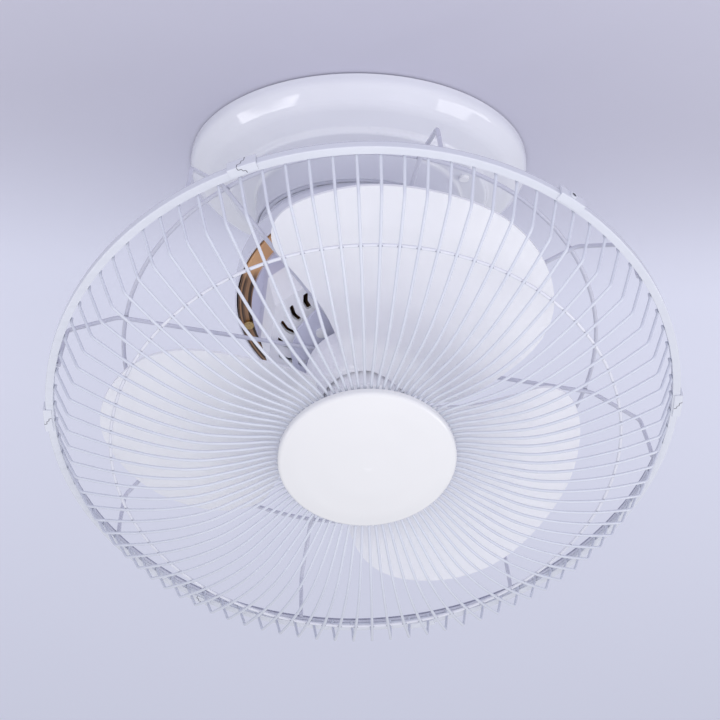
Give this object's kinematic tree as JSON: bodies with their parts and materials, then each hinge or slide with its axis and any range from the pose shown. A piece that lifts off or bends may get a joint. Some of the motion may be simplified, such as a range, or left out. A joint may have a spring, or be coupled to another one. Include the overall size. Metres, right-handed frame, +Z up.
{
  "type": "ceiling orbit fan",
  "caption": "Ceiling-mounted orbit fan: round domed canopy with a turning crank in its neck, a tilted motor head, blades on the motor shaft and a shallow wire guard.",
  "frame": {"origin": "centre of the ceiling face of the mounting plate", "axes": "+Z up into the ceiling, -Y the way the tilted head faces in the rest pose, +X to the right seen from the front"},
  "size_m": [0.433, 0.3928, 0.3446],
  "materials": {
    "white_gloss": "glossy cool-white plastic",
    "white_blade": "satin white plastic",
    "white_wire": "white powder coat",
    "white_cast": "white paint on cast and pressed metal",
    "white_alloy": "white paint on die-cast aluminium",
    "steel": "plated steel",
    "dark_steel": "blackened steel",
    "brass": "brass-plated",
    "core": "varnished steel laminations",
    "winding": "varnished copper wire",
    "crank_cast": "die-cast",
    "nylon": "natural nylon",
    "dark_plastic": "black moulded plastic",
    "rubber": "black rubber"
  },
  "bodies": {
    "base": {"ceiling_plate": "white_cast", "cable_grommet": "rubber", "canopy": "white_gloss", "carrier_posts": "steel", "bearing_carrier": "crank_cast", "canopy_screws": "steel", "thrust_washer": "nylon", "orbit_motor": "steel", "orbit_motor_screws": "steel", "terminal_block": "dark_plastic", "run_capacitor": "dark_plastic"},
    "orbit_crank_body": {"orbit_crank": "crank_cast", "orbit_shaft": "steel", "stem_bearing_lower": "steel", "stem_bearing_upper": "steel"},
    "fan_head": {"head_stem": "steel", "stem_nut": "steel", "motor_bell": "white_cast", "bell_spacers": "steel", "stem_screws": "steel", "stator_core": "core", "stator_winding_front": "winding", "stator_winding_rear": "winding", "motor_front_shield": "white_alloy", "motor_rear_shield": "white_alloy", "motor_through_bolts": "brass", "through_bolt_nuts": "brass", "shaft_bearing_front": "steel", "shaft_bearing_rear": "steel", "guard_plate": "white_cast", "guard_plate_screws": "white_cast", "rear_guard_wires": "white_wire", "rear_guard_ring": "white_wire", "rear_rim_ring": "white_wire", "rim_band": "white_gloss", "guard_clips": "white_gloss", "rim_lock_screw": "dark_steel", "front_guard_wires": "white_wire", "front_rim_ring": "white_wire", "front_mid_ring": "white_wire", "front_inner_ring": "white_wire", "badge": "white_gloss", "badge_clamp": "white_cast", "badge_screws": "steel"},
    "rotor": {"motor_shaft": "steel", "rotor_core": "core", "drive_pin": "steel", "blade_set": "white_blade", "lock_nut": "white_gloss"}
  },
  "joints": [
    {"name": "orbit", "type": "hinge", "parent": "base", "child": "orbit_crank_body", "pos_m": [0, 0, 0], "axis": [0, 0, 1], "continuous": true},
    {"name": "head_counter_turn", "type": "hinge", "parent": "orbit_crank_body", "child": "fan_head", "pos_m": [0, 0, -0.112], "axis": [0, 0.454, 0.891], "continuous": true},
    {"name": "fan_spin", "type": "hinge", "parent": "fan_head", "child": "rotor", "pos_m": [0, 0, -0.112], "axis": [0, 0.454, 0.891], "continuous": true}
  ],
  "couplings": [
    {"joint": "head_counter_turn", "follows": "orbit", "ratio": -1}
  ]
}
